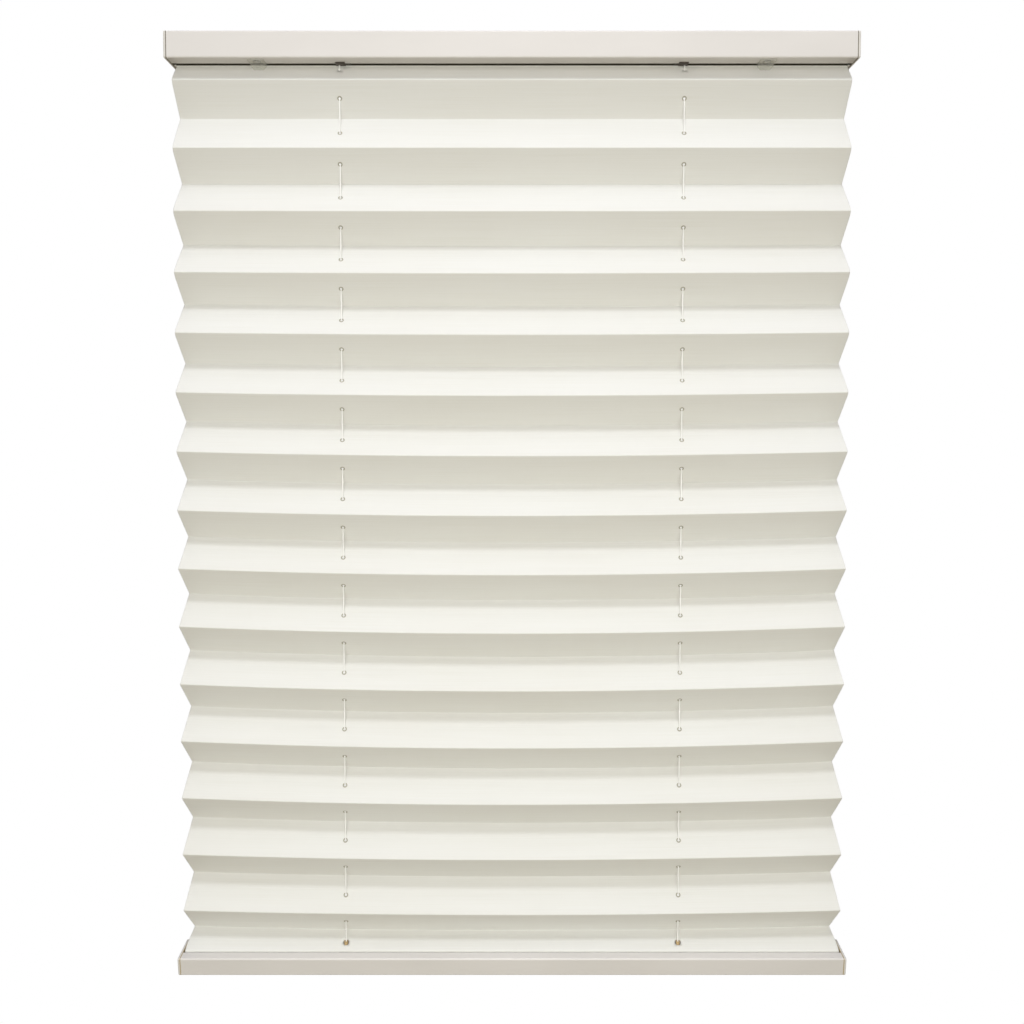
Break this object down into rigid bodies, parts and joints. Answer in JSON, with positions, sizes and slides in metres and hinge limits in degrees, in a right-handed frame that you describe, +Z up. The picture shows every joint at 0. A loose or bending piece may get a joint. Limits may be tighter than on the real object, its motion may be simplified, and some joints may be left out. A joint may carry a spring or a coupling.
{
  "type": "pleated blind",
  "caption": "Pleated window blind on two channel rails, with tension cords through the pleats and a bottom rail that lifts.",
  "frame": {"origin": "centre of the headrail's top face", "axes": "X along the rails, Y from the room towards the window, Z up"},
  "size_m": [0.7004, 0.0382, 0.9702],
  "materials": {
    "rail_paint": "off-white satin powder coat",
    "cap_plastic": "off-white moulded plastic",
    "strip_plastic": "white extruded plastic",
    "clear_plastic": "clear moulded plastic",
    "dark_plastic": "dark brown moulded plastic",
    "brown_plastic": "brown moulded plastic",
    "pleat_fabric": "stiffened cream woven polyester, permanently pleated",
    "cord_braid": "white braided polyester cord",
    "spring_steel": "plain spring wire"
  },
  "bodies": {
    "headrail": {"headrail": "rail_paint", "headrail_cap_left": "cap_plastic", "headrail_cap_right": "cap_plastic", "top_strip": "strip_plastic", "rail_clip_left": "clear_plastic", "rail_clip_right": "clear_plastic", "headrail_guide_left": "dark_plastic", "headrail_guide_right": "dark_plastic", "pleated_fabric": "pleat_fabric", "cord_left": "cord_braid", "cord_right": "cord_braid", "spring_knot_left": "cord_braid", "spring_knot_right": "cord_braid", "tension_spring": "spring_steel"},
    "bottom_bar": {"bottom_rail": "rail_paint", "bottom_cap_left": "cap_plastic", "bottom_cap_right": "cap_plastic", "bottom_strip": "strip_plastic", "bottom_guide_left": "brown_plastic", "bottom_guide_right": "brown_plastic", "cord_knot_left": "cord_braid", "cord_knot_right": "cord_braid"}
  },
  "joints": [
    {"name": "lift", "type": "slide", "parent": "headrail", "child": "bottom_bar", "axis": [0, 0, 1], "range_m": [0, 0.86], "deforming": ["pleated_fabric", "cord_left", "cord_right"]}
  ]
}
